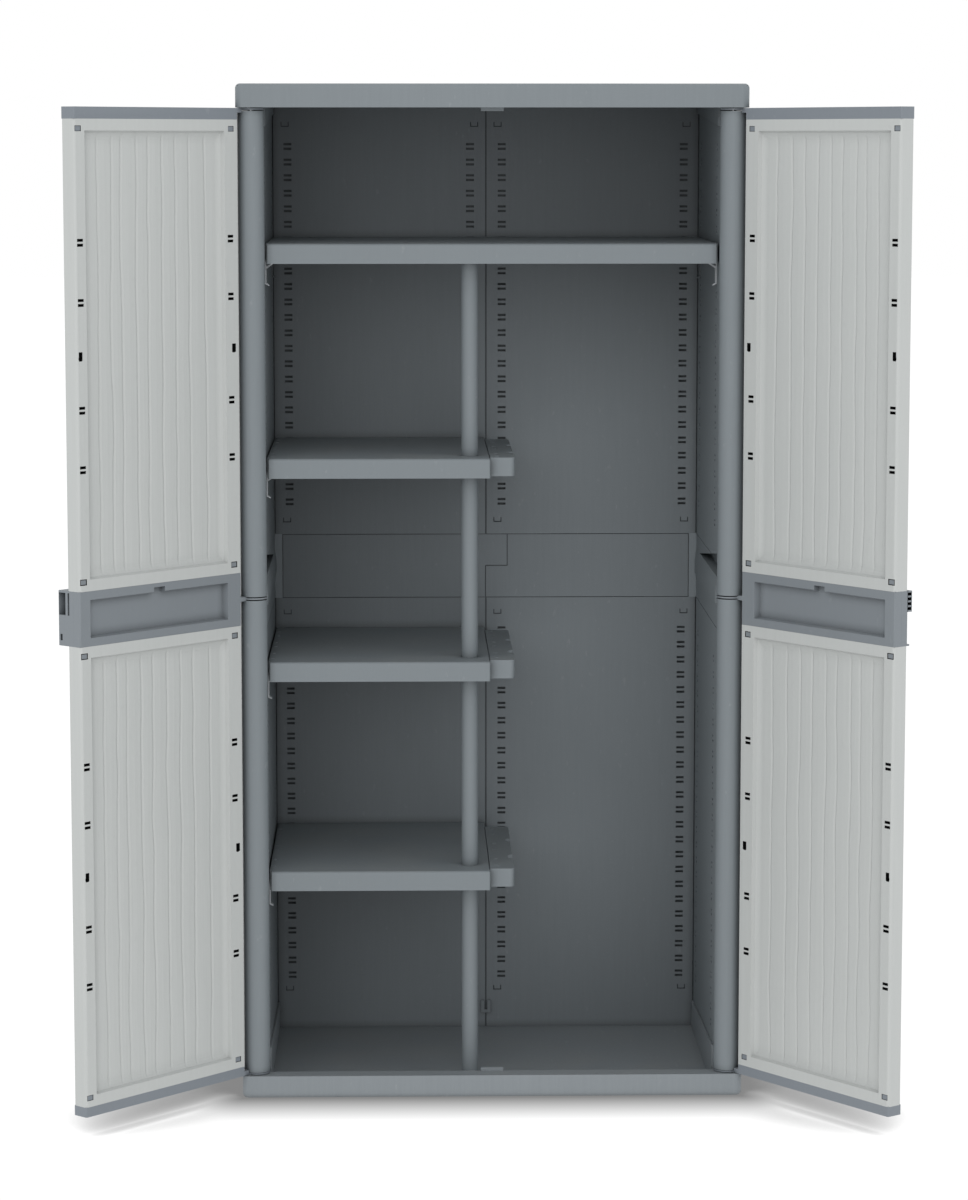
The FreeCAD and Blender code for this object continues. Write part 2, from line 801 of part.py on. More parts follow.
def hook_slots(top):
    shapes = []
    y0, y1 = door_inner_offset - skin, door_inner_offset
    heights = [top - hook_drop, top - hook_drop - hook_step, top - hook_drop - hook_step - hook_span,
               top - hook_drop - 2 * hook_step - hook_span]
    key_z = heights[1] - hook_span / 2
    for x0, x1 in stile_channels:
        x = stile_middle(x0, slit_hinge_inset, slit_free_inset)
        for middle in heights:
            for offset in (-slit_step / 2, slit_step / 2):
                z = middle + offset
                shapes.append(box(x - slit_width / 2, x + slit_width / 2, y0, y1,
                                  z - slit_height / 2, z + slit_height / 2))
        x = stile_middle(x0, keyhole_hinge_inset, keyhole_free_inset)
        hole = Part.makeCylinder(keyhole_radius, skin, FreeCAD.Vector(x, y0, key_z), FreeCAD.Vector(0, 1, 0))
        shapes.append(hole)
        shapes.append(box(x - keyhole_slot / 2, x + keyhole_slot / 2, y0, y1, key_z, key_z + keyhole_length))
    return shapes


def door_grooves(z0, z1):
    grooves = []
    first = door_hinge_edge - lip_reach
    count = int((door_end - first) / plank_pitch)
    for k in range(1, count + 1):
        x = first + k * (door_end - first) / (count + 1)
        grooves.append(box(x - groove_width / 2, x + groove_width / 2,
                           door_back, door_back + groove_depth, z0, z1))
    return grooves


def door_panel(z0, z1):
    panel = add(door_bar(z0, z1, door_back, door_inner_offset), [weather_lip(z0, z1)])
    recess_x0 = door_hinge_edge + hinge_stile
    recess_x1 = door_end - free_stile
    floor_y = door_inner_offset - recess_depth
    cuts = [drafted_recess(recess_x0, recess_x1, z0 + rail, z1 - rail, floor_y, door_inner_offset,
                           recess_slope)]
    for x0, x1 in stile_channels:
        cuts.append(box(x0, x1, door_channel_back, door_inner_offset - skin, z0, z1))
    for x0, x1 in field_channels:
        cuts.append(box(x0, x1, door_channel_back, floor_y - skin - strip_groove_depth, z0, z1))
    cuts += snap_windows(z0 + window_rise) + snap_windows(z1 - window_rise)
    cuts += hook_slots(z1) + door_grooves(z0, z1)
    pitch = (recess_x1 - recess_x0 - 2 * recess_slope) / strip_count
    for k in range(1, strip_count):
        x = recess_x0 + recess_slope + k * pitch
        cuts.append(box(x - strip_groove / 2, x + strip_groove / 2, floor_y - strip_groove_depth, floor_y,
                        z0 + rail + recess_slope, z1 - rail - recess_slope))
    return cut(panel, cuts)


def hinge_disc(low, arm_low, link_low, link_high):
    disc = rod(0, 0, low, low + disc_thick, column_radius)
    arm = box(0, door_hinge_edge, door_back + lip_thick, door_inner_offset, arm_low, arm_low + arm_thick)
    arm = arm.cut(rod(0, 0, arm_low, arm_low + arm_thick, column_radius + arm_gap))
    link = box(link_start, column_radius + arm_gap + disc_thick, door_back + lip_thick, door_inner_offset,
               link_low, link_high)
    bore = rod(0, 0, link_low, link_high, pin_radius + pin_clearance)
    return add(disc, [arm, link]).cut(bore)


def cap_top():
    bar = add(door_bar(panel_top, door_top, door_back, door_inner_offset),
              [weather_lip(panel_top, door_top)])
    hinge = hinge_disc(door_top - disc_thick, door_top - arm_thick, column_high + link_gap, door_top)
    parts = [hinge] + door_tongues(panel_top - tongue_length - window_size / 2, panel_top,
                                   panel_top - window_rise)
    return cut(add(bar, parts), door_grooves(panel_top, door_top))


def cap_bottom():
    bar = add(door_bar(door_bottom, panel_bottom, door_back, door_inner_offset),
              [weather_lip(door_bottom, panel_bottom)])
    hinge = hinge_disc(door_bottom, door_bottom, door_bottom, column_low - link_gap)
    parts = [hinge] + door_tongues(panel_bottom, panel_bottom + tongue_length + window_size / 2,
                                   panel_bottom + window_rise)
    return cut(add(bar, parts), door_grooves(door_bottom, panel_bottom))


def door_belt():
    split_y = door_inner_offset - handle_split
    floor_y = door_inner_offset - belt_recess_depth
    x0 = door_hinge_edge + hinge_stile
    x1 = door_end - free_stile
    bar = door_bar(door_belt_low, door_belt_high, split_y, door_inner_offset)
    recess_top = door_belt_high - belt_recess_high
    cuts = [drafted_recess(x0, x1, door_belt_low + belt_recess_low, recess_top, floor_y, door_inner_offset,
                           belt_recess_slope),
            box(belt_notch_reach, belt_notch_reach + belt_notch_width, floor_y, door_inner_offset,
                recess_top - belt_recess_slope, recess_top + belt_notch_rise),
            box(door_hinge_edge + handle_skin, door_end - handle_skin, split_y, floor_y - skin,
                door_belt_low + handle_skin, door_belt_high - handle_skin)]
    bar = cut(bar, cuts)
    arm_low = belt_mid - arm_thick / 2
    parts = [hinge_disc(belt_mid - disc_thick / 2, arm_low, lower_column_top + link_gap,
                        upper_column_bottom - link_gap)]
    reach = tongue_length + window_size / 2
    parts += door_tongues(door_belt_low - reach, door_belt_low, door_belt_low - window_rise)
    parts += door_tongues(door_belt_high, door_belt_high + reach, door_belt_high + window_rise)
    bar = add(bar, parts)
    return bar


def door_cover():
    # Outer half of the door's belt, which carries the handle.
    split_y = door_inner_offset - handle_split
    bar = door_bar(door_belt_low, door_belt_high, door_back, split_y)
    bar = add(bar, [weather_lip(door_belt_low, door_belt_high)])
    hollow = box(door_hinge_edge + handle_skin, door_end - handle_skin, door_back + handle_skin, split_y,
                 door_belt_low + handle_skin, door_belt_high - handle_skin)
    return cut(bar, [hollow] + door_grooves(door_belt_low, door_belt_high))


def left_handle():
    face = door_back - latch_proud
    block = box(door_end - latch_length, door_end, face, door_back + handle_skin,
                door_belt_low, door_belt_high)
    outer = edges_where(block, lambda edge: is_upright(edge) and edge.Vertexes[0].Point.y < face + 0.01)
    block = block.makeFillet(door_edge_radius, outer)
    slot_top = door_belt_high - handle_skin
    slot_low = slot_top - latch_slot_height
    slot_y = face + latch_skin
    slit_y = slot_y + latch_slot_width + latch_bar
    lock_y = face + lock_inset
    lock_z = door_belt_low + lock_slot_rise
    cuts = [box(door_end - latch_slot_depth, door_end, slot_y, slot_y + latch_slot_width, slot_low, slot_top),
            box(door_end - latch_slot_depth, door_end, slit_y, slit_y + latch_slit_width, slot_low, slot_top),
            box(door_end - latch_slot_depth, door_end, lock_y, lock_y + lock_slot_width,
                lock_z, lock_z + lock_slot_height)]
    return cut(add(door_cover(), [block]), cuts)


def right_handle():
    face = door_back - grip_proud
    x0 = door_end - grip_length
    top = door_belt_high
    low = top - grip_height
    plate = box(x0, door_end - grip_recess, face + grip_tooth / 2, door_back + handle_skin, low, top)
    parts = [plate]
    step = (grip_height - grip_fin) / (grip_fin_count - 1)
    for k in range(grip_fin_count):
        z = low + k * step
        parts.append(prism([(x0, door_back, z), (x0, face, z), (x0, face + grip_tooth, z + grip_fin),
                            (x0, door_back, z + grip_fin)], (door_end - x0, 0, 0)))
    parts.append(box(x0, door_end, door_back - flange_proud, door_back + handle_skin,
                     door_belt_low, door_belt_low + flange_thick))
    return add(door_cover(), parts)


def placed(shape, side):
    if side > 0:
        shape = mirrored(shape)
    angle = right_open if side > 0 else -left_open
    shape.rotate(FreeCAD.Vector(0, 0, 0), FreeCAD.Vector(0, 0, 1), angle)
    shape.translate(FreeCAD.Vector(side * hinge_x, hinge_y, 0))
    return shape


def build():
    nodes = {"base_tray": base_tray(), "roof_cap": roof_cap(), "back_seam_clip": seam_clip(),
             "full_shelf": shelf(-shelf_x, shelf_x, shelf_lows[0], False),
             "front_shelf_brackets": front_brackets(), "rear_shelf_brackets": rear_brackets(),
             "hinge_bushes": hinge_bushes(), "hinge_pins": hinge_pins()}
    lower_wall = side_panel(base_floor, belt_low, column_low, lower_column_top, lower_slot_top)
    upper_wall = side_panel(belt_high, wall_top, upper_column_bottom, column_high, upper_slot_top)
    lower_back = back_panel(base_floor, belt_low, lower_slot_top)
    upper_back = back_panel(belt_high, wall_top, upper_slot_top)
    belt = side_belt()
    leaf_upper = door_panel(door_belt_high, panel_top)
    leaf_lower = door_panel(panel_bottom, door_belt_low)
    for side, name in ((-1, "left"), (1, "right")):
        nodes[name + "_side_panel_lower"] = on_side(lower_wall, side)
        nodes[name + "_side_panel_upper"] = on_side(upper_wall, side)
        nodes[name + "_side_belt"] = on_side(belt, side)
        nodes[name + "_back_panel_lower"] = back_half(lower_back, side, base_floor, belt_low)
        nodes[name + "_back_panel_upper"] = back_half(upper_back, side, belt_high, wall_top)
        nodes[name + "_back_belt"] = back_belt(side)
        nodes[name + "_door_panel_upper"] = placed(leaf_upper.copy(), side)
        nodes[name + "_door_panel_lower"] = placed(leaf_lower.copy(), side)
        nodes[name + "_door_cap_top"] = placed(cap_top(), side)
        nodes[name + "_door_cap_bottom"] = placed(cap_bottom(), side)
        nodes[name + "_door_belt"] = placed(door_belt(), side)
        nodes[name + "_door_handle"] = placed(left_handle() if side < 0 else right_handle(), side)
    for k, low in enumerate(shelf_lows[1:], 1):
        nodes["half_shelf_%d" % k] = shelf(-shelf_x, -half_shelf_end, low, True)
        nodes["tool_holder_%d" % k] = tool_holder(low)
    tops = [low + shelf_height for low in shelf_lows[1:]] + [base_floor]
    for k, (low, high) in enumerate(zip(tops, shelf_lows), 1):
        nodes["shelf_post_%d" % k] = post(low, high)
    return nodes


os.makedirs("parts", exist_ok=True)
for node_name, node_shape in build().items():
    node_shape.exportStep("parts/" + node_name + ".step")
    solids = len(node_shape.Solids)
    print(node_name, solids, "solids", round(node_shape.Volume / 1000), "cm3", "valid", node_shape.isValid())
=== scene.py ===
import bmesh
import bpy
import json
import math
from mathutils import Matrix, Vector

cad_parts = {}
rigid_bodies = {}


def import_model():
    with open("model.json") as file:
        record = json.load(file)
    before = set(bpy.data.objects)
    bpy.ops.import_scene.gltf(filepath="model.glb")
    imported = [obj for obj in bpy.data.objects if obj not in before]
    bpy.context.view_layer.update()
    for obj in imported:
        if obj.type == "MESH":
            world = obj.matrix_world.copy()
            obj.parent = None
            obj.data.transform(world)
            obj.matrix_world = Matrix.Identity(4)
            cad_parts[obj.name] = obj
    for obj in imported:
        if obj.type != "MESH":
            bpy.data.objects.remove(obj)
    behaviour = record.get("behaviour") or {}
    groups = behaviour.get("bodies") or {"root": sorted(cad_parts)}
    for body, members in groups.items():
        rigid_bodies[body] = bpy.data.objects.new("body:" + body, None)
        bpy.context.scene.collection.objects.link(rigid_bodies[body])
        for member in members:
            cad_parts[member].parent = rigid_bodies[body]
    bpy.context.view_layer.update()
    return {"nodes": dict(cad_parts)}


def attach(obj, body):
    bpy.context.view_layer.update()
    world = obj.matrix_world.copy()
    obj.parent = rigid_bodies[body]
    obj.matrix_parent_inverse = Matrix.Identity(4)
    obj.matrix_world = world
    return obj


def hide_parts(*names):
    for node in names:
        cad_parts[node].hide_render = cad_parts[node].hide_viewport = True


for leftover in list(bpy.data.objects):
    bpy.data.objects.remove(leftover)

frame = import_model()
nodes = frame["nodes"]
mm = 0.001
print("frame loaded with", len(nodes), "nodes")


# shader maths

class Sock:
    def __init__(self, graph, link):
        self.graph = graph
        self.link = link

    def join(self, operation, *values):
        return self.graph.make("ShaderNodeMath", {"operation": operation}, values)

    def __add__(self, other):
        return self.join("ADD", self, other)

    def __sub__(self, other):
        return self.join("SUBTRACT", self, other)

    def __rsub__(self, other):
        return self.join("SUBTRACT", other, self)

    def __mul__(self, other):
        return self.join("MULTIPLY", self, other)

    def __truediv__(self, other):
        return self.join("DIVIDE", self, other)

    def power(self, exponent):
        return self.join("POWER", self, exponent)

    def least(self, other):
        return self.join("MINIMUM", self, other)

    def most(self, other):
        return self.join("MAXIMUM", self, other)

    def absolute(self):
        return self.join("ABSOLUTE", self)

    def clamp(self):
        return self.graph.make("ShaderNodeClamp", {}, [self, 0.0, 1.0])

    def step(self, low, high):
        return self.graph.make("ShaderNodeMapRange", {"interpolation_type": "SMOOTHSTEP"},
                               {"Value": self, "From Min": low, "From Max": high})


class Board:
    # A node tree: make adds any node, and the others the kinds that come back often.
    def make(self, kind, settings=None, values=(), output=0):
        node = self.tree.nodes.new(kind)
        for key, value in (settings or {}).items():
            setattr(node, key, value)
        pairs = values.items() if isinstance(values, dict) else enumerate(values)
        for key, value in pairs:
            if isinstance(value, Sock):
                self.tree.links.new(value.link, node.inputs[key])
            elif value is not None:
                node.inputs[key].default_value = value
        return Sock(self, node.outputs[output])

    def noise(self, place, scale, detail, **more):
        values = {"Vector": place, "Scale": scale, "Detail": detail}
        return self.make("ShaderNodeTexNoise", {}, dict(values, **more))

    def mapping(self, place, scale, turn=(0.0, 0.0, 0.0)):
        return self.make("ShaderNodeMapping", {}, {"Vector": place, "Rotation": turn, "Scale": scale})

    def bump(self, height, strength, distance, normal=None):
        values = {"Height": height, "Strength": strength, "Distance": distance, "Normal": normal}
        return self.make("ShaderNodeBump", {}, values)

    def axis(self, vector, letter):
        return self.make("ShaderNodeSeparateXYZ", {}, [vector], letter)

    def vector(self, **parts):
        return self.make("ShaderNodeCombineXYZ", {}, parts)

    def blend(self, amount, first, second):
        node = self.tree.nodes.new("ShaderNodeMix")
        node.data_type = "RGBA"
        for place, value in ((0, amount), (6, first), (7, second)):
            if isinstance(value, Sock):
                self.tree.links.new(value.link, node.inputs[place])
            else:
                node.inputs[place].default_value = value
        return Sock(self, node.outputs[2])

    def directRays(self):
        # One where the camera looks at the studio, straight or by way of gloss or glass.
        camera = self.make("ShaderNodeLightPath", output="Is Camera Ray")
        glossy = self.make("ShaderNodeLightPath", output="Is Glossy Ray")
        through = self.make("ShaderNodeLightPath", output="Is Transmission Ray")
        return camera.most(glossy).most(through)


class Graph(Board):
    # The node tree of a new material.
    def __init__(self, name):
        self.material = bpy.data.materials.new(name)
        self.material.use_nodes = True
        self.tree = self.material.node_tree
        self.tree.nodes.clear()
        self.out = self.tree.nodes.new("ShaderNodeOutputMaterial")

    def finish(self, shader):
        self.tree.links.new(shader.link, self.out.inputs["Surface"])
        return self.material


class Pattern(Board):
    # A Geometry Nodes tree whose inputs are named sizes.
    def __init__(self, name, sizes):
        self.tree = bpy.data.node_groups.new(name, "GeometryNodeTree")
        face = self.tree.interface
        face.new_socket(name="Geometry", in_out="OUTPUT", socket_type="NodeSocketGeometry")
        self.sockets = {}
        for label, value in sizes.items():
            kind = "NodeSocketInt" if isinstance(value, int) else "NodeSocketFloat"
            socket = face.new_socket(name=label, in_out="INPUT", socket_type=kind)
            self.sockets[label] = (socket.identifier, value)
        self.entry = self.tree.nodes.new("NodeGroupInput")
        self.exit = self.tree.nodes.new("NodeGroupOutput")

    def size(self, label):
        return Sock(self, self.entry.outputs[label])

    def gather(self, geometries):
        joined = self.make("GeometryNodeJoinGeometry")
        for geometry in geometries:
            self.tree.links.new(geometry.link, joined.link.node.inputs[0])
        return joined

    def finish(self, geometry, material):
        real = self.make("GeometryNodeRealizeInstances", {}, [geometry])
        painted = self.make("GeometryNodeSetMaterial", {}, {"Geometry": real, "Material": material})
        self.tree.links.new(painted.link, self.exit.inputs[0])
        return self

    def grow(self, name, changed=None):
        # Runs the tree with some sizes changed and hands back a plain mesh.
        carrier = bpy.data.objects.new(name, bpy.data.meshes.new(name + "Seed"))
        bpy.context.scene.collection.objects.link(carrier)
        modifier = carrier.modifiers.new("pattern", "NODES")
        modifier.node_group = self.tree
        values = {label: value for label, (key, value) in self.sockets.items()}
        values.update(changed or {})
        for label, value in values.items():
            modifier[self.sockets[label][0]] = value
        shaped = carrier.evaluated_get(bpy.context.evaluated_depsgraph_get())
        mesh = bpy.data.meshes.new_from_object(shaped)
        mesh.name = name
        bpy.data.objects.remove(carrier)
        return mesh


def shade(red, green, blue):
    # screen colour to a linear one
    parts = []
    for value in (red, green, blue):
        share = value / 255
        parts.append(share / 12.92 if share <= 0.04045 else ((share + 0.055) / 1.055) ** 2.4)
    return (*parts, 1.0)


def mouldedPlastic(name, look):
    # Moulded resin: faint wood grain along Z, orange peel, mottling, dust, a few scuffs and painted shade in
    # crevices.
    graph = Graph(name)
    place = graph.make("ShaderNodeTexCoord", output="Object")
    mottle = graph.noise(place, look["mottleScale"], 5.0, Roughness=0.6)
    stretched = graph.mapping(place, (1.0, 1.0, look["grainLength"]))
    warp = graph.noise(stretched, look["warpScale"], 2.0)
    grain = graph.noise(stretched, look["grainScale"], 6.0, Roughness=0.62, Distortion=0.35)
    peel = graph.noise(place, look["peelScale"], 2.0)
    speck = graph.noise(place, look["speckScale"], 1.0)
    scuffPlace = graph.mapping(place, look["scuffStretch"], look["scuffTurn"])
    scuffMask = graph.noise(scuffPlace, look["scuffScale"], 3.0).step(0.66, 0.78)
    normal = graph.make("ShaderNodeNewGeometry", output="Normal")
    upward = graph.axis(normal, "Z").step(0.55, 0.95)
    dustCloud = graph.noise(place, look["dustScale"], 6.0)
    dustMask = upward * dustCloud.step(0.35, 0.75) * look["dust"]
    light = graph.blend((mottle - 0.5) * 2 * look["mottle"] + 0.5, look["low"], look["high"])
    ridged = graph.blend((grain.step(0.3, 0.7) * look["grainTint"]), light, look["grainColour"])
    speckled = graph.blend(speck * look["speck"], ridged, look["speckColour"])
    scuffed = graph.blend(scuffMask * look["scuff"], speckled, look["scuffColour"])
    colour = graph.blend(dustMask, scuffed, look["dustColour"])
    # painted shade: darker in crevices and, where the look asks for it, deep inside the cabinet, from ambient
    # occlusion
    for depth, reach, samples in (("creviceShade", "creviceShadeReach", 5), ("roomShade", "roomShadeReach", 4)):
        if look[depth]:
            openness = graph.make("ShaderNodeAmbientOcclusion", {"samples": samples},
                                  {"Distance": look[reach]}, "AO")
            colour = graph.blend((1 - openness).clamp() * look[depth], colour, look["creviceShadeColour"])
    rough = ((mottle - 0.5) * 0.12 + look["rough"] + (grain - 0.5) * 0.1 + dustMask * 0.2
             - scuffMask * look["scuff"] * 0.1).clamp()
    grained = graph.bump(grain + warp * 0.4, look["grainBump"], look["grainDepth"])
    peeled = graph.bump(peel, look["peelBump"], look["peelDepth"], grained)
    return graph.finish(graph.make("ShaderNodeBsdfPrincipled", {}, {
        "Base Color": colour, "Roughness": rough, "Normal": peeled, "Specular IOR Level": look["sheen"]}))


def brushedSteel(name, look):
    # Drawn steel: fine lines along Z and a faint stain.
    graph = Graph(name)
    place = graph.make("ShaderNodeTexCoord", output="Object")
    stretched = graph.mapping(place, (1.0, 1.0, look["lineLength"]))
    lines = graph.noise(stretched, look["lineScale"], 4.0)
    stain = graph.noise(place, look["stainScale"], 4.0)
    colour = graph.blend(stain.step(0.4, 0.8) * 0.5, look["metal"], look["stain"])
    rough = (lines - 0.5) * 0.2 + look["rough"] + stain * 0.1
    lined = graph.bump(lines, 0.3, look["lineDepth"])
    return graph.finish(graph.make("ShaderNodeBsdfPrincipled", {}, {
        "Base Color": colour, "Roughness": rough, "Normal": lined, "Metallic": 1.0}))


plasticBase = {
    "mottle": 0.35, "mottleScale": 2.6, "warpScale": 22.0, "grainLength": 0.05, "grainScale": 160.0,
    "grainTint": 0.10, "grainBump": 0.35, "grainDepth": 0.0006, "peelScale": 620.0, "peelBump": 0.35,
    "peelDepth": 0.0002, "speck": 0.05, "speckScale": 2200.0, "speckColour": shade(170, 174, 176),
    "scuff": 0.10, "scuffScale": 95.0, "scuffTurn": (0.5, 0.3, 0.7), "scuffStretch": (1.0, 0.18, 0.5),
    "scuffColour": shade(196, 199, 200), "dust": 0.22, "dustScale": 9.0, "dustColour": shade(158, 158, 154),
    # the crevice and room entries paint shade into the colour: strength, reach and the near-black shade
    # colour
    "rough": 0.52, "sheen": 0.35, "creviceShade": 0.75, "creviceShadeReach": 0.016, "creviceShadeColour": shade(14, 16, 17),
    "roomShade": 0.0, "roomShadeReach": 0.35,
}
carcassLook = dict(plasticBase, low=shade(126, 133, 137), high=shade(136, 143, 147),
                   grainColour=shade(112, 118, 123))
# the base tray is a lighter copy of the carcass plastic, painted light making up for the dimmer light low
# down, with less painted crevice shade
baseLitLook = dict(carcassLook, low=shade(136, 142, 146), high=shade(146, 152, 156), creviceShade=0.3)
# walls and rear brackets also get painted shade deep inside the cabinet
wallLook = dict(carcassLook, roomShade=0.4)
sideBeltLook = dict(carcassLook, creviceShade=0.1)
shelfLook = dict(plasticBase, low=shade(125, 132, 136), high=shade(134, 141, 145), grainTint=0.05,
                 grainColour=shade(115, 121, 125), grainBump=0.12, peelBump=0.5)
doorLook = dict(plasticBase, low=shade(197, 200, 198), high=shade(204, 206, 204), grainTint=0.10,
                grainColour=shade(180, 183, 181), speckColour=shade(216, 218, 216), mottle=0.3, dust=0.12,
                scuffColour=shade(172, 175, 174), dustColour=shade(192, 190, 182),
                creviceShadeColour=shade(60, 62, 61), creviceShadeReach=0.022)
capLook = dict(plasticBase, low=shade(128, 135, 142), high=shade(138, 144, 151), grainTint=0.05,
               grainColour=shade(116, 122, 128), grainBump=0.1)
beltLook = dict(plasticBase, low=shade(129, 135, 140), high=shade(139, 145, 150), grainTint=0.05,
                grainColour=shade(118, 124, 129), grainBump=0.08)
bracketLook = dict(plasticBase, low=shade(196, 200, 203), high=shade(206, 210, 213), grainTint=0.04,
                   grainColour=shade(184, 188, 191), grainBump=0.05, rough=0.42, creviceShade=0.3)
# near-black plastic: painted shade for the deep insides of pits, slits, keyholes and the grip's pockets
hollowShadeLook = dict(plasticBase, low=shade(9, 10, 10), high=shade(14, 15, 15), grainTint=0.04,
                  grainColour=shade(7, 8, 8), speckColour=shade(20, 21, 21), scuffColour=shade(24, 25, 25),
                  dustColour=shade(20, 20, 19), grainBump=0.05, rough=0.8, sheen=0.1)
steelLook = {"metal": (0.56, 0.57, 0.58, 1), "stain": (0.30, 0.28, 0.26, 1), "rough": 0.34,
             "lineLength": 0.04, "lineScale": 900.0, "lineDepth": 0.0001, "stainScale": 60.0}

carcassPlastic = mouldedPlastic("carcassPlastic", carcassLook)
baseLitPlastic = mouldedPlastic("baseLitPlastic", baseLitLook)
wallPlastic = mouldedPlastic("wallPlastic", wallLook)
sideBeltPlastic = mouldedPlastic("sideBeltPlastic", sideBeltLook)
shelfPlastic = mouldedPlastic("shelfPlastic", shelfLook)
doorPlastic = mouldedPlastic("doorPlastic", doorLook)
capPlastic = mouldedPlastic("capPlastic", capLook)
beltPlastic = mouldedPlastic("beltPlastic", beltLook)
hollowShadePlastic = mouldedPlastic("hollowShadePlastic", hollowShadeLook)
bracketPlastic = mouldedPlastic("bracketPlastic", bracketLook)
pinSteel = brushedSteel("pinSteel", steelLook)

finishes = (
    ("_door_panel", doorPlastic), ("_door_cap", capPlastic), ("_door_belt", beltPlastic),
    ("_door_handle", beltPlastic), ("front_shelf", bracketPlastic), ("rear_shelf", wallPlastic),
    ("hinge_pins", pinSteel), ("half_shelf", shelfPlastic), ("full_shelf", shelfPlastic),
    ("tool_holder", shelfPlastic), ("shelf_post", shelfPlastic), ("_back_", wallPlastic),
    ("back_seam", wallPlastic), ("base_tray", baseLitPlastic), ("_side_belt", sideBeltPlastic),
)
for nodeName, piece in nodes.items():
    finish = carcassPlastic
    for key, material in finishes:
        if key in nodeName:
            finish = material
    for slot in piece.material_slots:
        slot.material = finish
print("materials made")


# soft moulded edges on the solids that stay

edgeLook = {
    "widths": {"roof_cap": 1.6, "base_tray": 2.4, "_door_cap": 0.9, "_door_belt": 0.5, "_door_handle": 1.0,
               "tool_holder": 0.8},
    "weld": 0.00001, "segments": 2, "sharpest": 40.0,
}
for nodeName, piece in nodes.items():
    for key, width in edgeLook["widths"].items():
        if key in nodeName:
            weld = piece.modifiers.new("weld", "WELD")
            weld.merge_threshold = edgeLook["weld"]
            bevel = piece.modifiers.new("softEdge", "BEVEL")
            bevel.width = width * mm
            bevel.segments = edgeLook["segments"]
            bevel.limit_method = "ANGLE"
            bevel.angle_limit = math.radians(edgeLook["sharpest"])
            bevel.use_clamp_overlap = True
            bevel.harden_normals = True
print("edges softened")


# door panels: frame, sloped recess, stepped boards, slits, snap windows and keyholes

leafLook = {
    "hingeX": 421.5, "hingeY": -240.0, "leftOpen": 132.2, "rightOpen": 126.6,
    "inner": 3.0, "outer": -28.0, "hingeEdge": 36.0, "freeEdge": 420.5, "edgeRound": 5.0,
    "lipReach": 16.0, "lipThick": 9.0, "hingeStile": 31.5, "freeStile": 24.0, "rail": 19.5,
    "recessDepth": 10.5, "recessSlope": 8.5, "slopeEase": 1.5, "slopeRound": 1.6,
    "windowWide": 13.0, "windowTall": 9.0, "windowHinge": 15.6, "windowFree": 9.3, "windowRise": 16.0,
    "windowDepth": 4.0, "windowRim": 1.1, "beltMiddle": 900.0,
    "slitWide": 12.8, "slitTall": 4.4, "slitStep": 8.2, "slitHinge": 18.5, "slitFree": 11.0,
    "hookDrop": 205.2, "hookStep": 100.0, "hookSpan": 180.0,
    "keyRadius": 4.3, "keySlot": 7.4, "keyLength": 10.6, "keyDrop": 3.0, "keyHinge": 11.9, "keyFree": 8.6,
    "keyStep": 0.27, "pitDepth": 14.0, "pitWall": 0.25, "shadeBelow": 0.4, "rimStep": 0.6, "roundSteps": 5,
    "grooveWide": 3.0, "grooveDepth": 1.2, "grooveCount": 6, "grooveLines": (-0.5, -0.3, 0.3, 0.5),
    "grooveFloor": 0.4,
}
leafLevels = {"upper": (947.0, 1737.8), "lower": (58.5, 853.0)}
boardLook = {
    "joints": (0.103, 0.197, 0.270, 0.378, 0.463, 0.567, 0.667, 0.766, 0.886), "wander": 7.0, "bend": 5.0,
    "jointWide": 3.6, "jointDepth": 1.15, "jointCurve": 1.2, "crown": 0.4, "crownRise": 60.0, "thick": 3.0,
    "overlap": 5.6, "lift": 1.6, "borderReach": 15.0, "borderRise": 3.4, "borderCurve": 2.0, "across": 320,
    "along": 140, "seed": 4, "jointSeed": 3.7, "lowerSeed": 3, "rightSeed": 11,
}


def leafPlace(side, look):
    # Turns the leaf's own frame (along the leaf, to its inside, up) into the cabinet's, in metres.
    angle = math.radians(look["leftOpen"] if side < 0 else look["rightOpen"])
    along = Vector((-side * math.cos(angle), -math.sin(angle), 0))
    inward = Vector((-side * math.sin(angle), math.cos(angle), 0))
    return Matrix((
        (along.x * mm, inward.x * mm, 0, side * look["hingeX"] * mm),
        (along.y * mm, inward.y * mm, 0, look["hingeY"] * mm),
        (0, 0, mm, 0),
        (0, 0, 0, 1)))


def leafPits(z0, z1, look):
    # Rectangles sunk into the stiles (middle across, middle up, width, height, depth), and the keyholes.
    pits = []
    near = look["hingeEdge"]
    far = look["freeEdge"]
    middle = (z0 + z1) / 2
    for z in (z0 + look["windowRise"], z1 - look["windowRise"]):
        # the windows beside the belt have a stepped frame
        besideBelt = z < middle if middle > look["beltMiddle"] else z > middle
        rim = look["windowRim"] if besideBelt else 0.0
        for u in (near + look["windowHinge"], far - look["windowFree"]):
            pits.append((u, z, look["windowWide"] - 2 * rim, look["windowTall"] - 2 * rim,
                         look["windowDepth"]))
            if rim:
                pits.append((u, z, look["windowWide"] + rim, look["windowTall"] + rim, rim))
    top = z1 - look["hookDrop"]
    heights = (top, top - look["hookStep"], top - look["hookStep"] - look["hookSpan"],
               top - 2 * look["hookStep"] - look["hookSpan"])
    for u in (near + look["slitHinge"], far - look["slitFree"]):
        for height in heights:
            for offset in (-look["slitStep"] / 2, look["slitStep"] / 2):
                pits.append((u, height + offset, look["slitWide"], look["slitTall"], look["pitDepth"]))
    keyZ = heights[1] - look["hookSpan"] / 2 - look["keyDrop"]
    keys = [(near + look["keyHinge"], keyZ), (far - look["keyFree"], keyZ)]
    return pits, keys


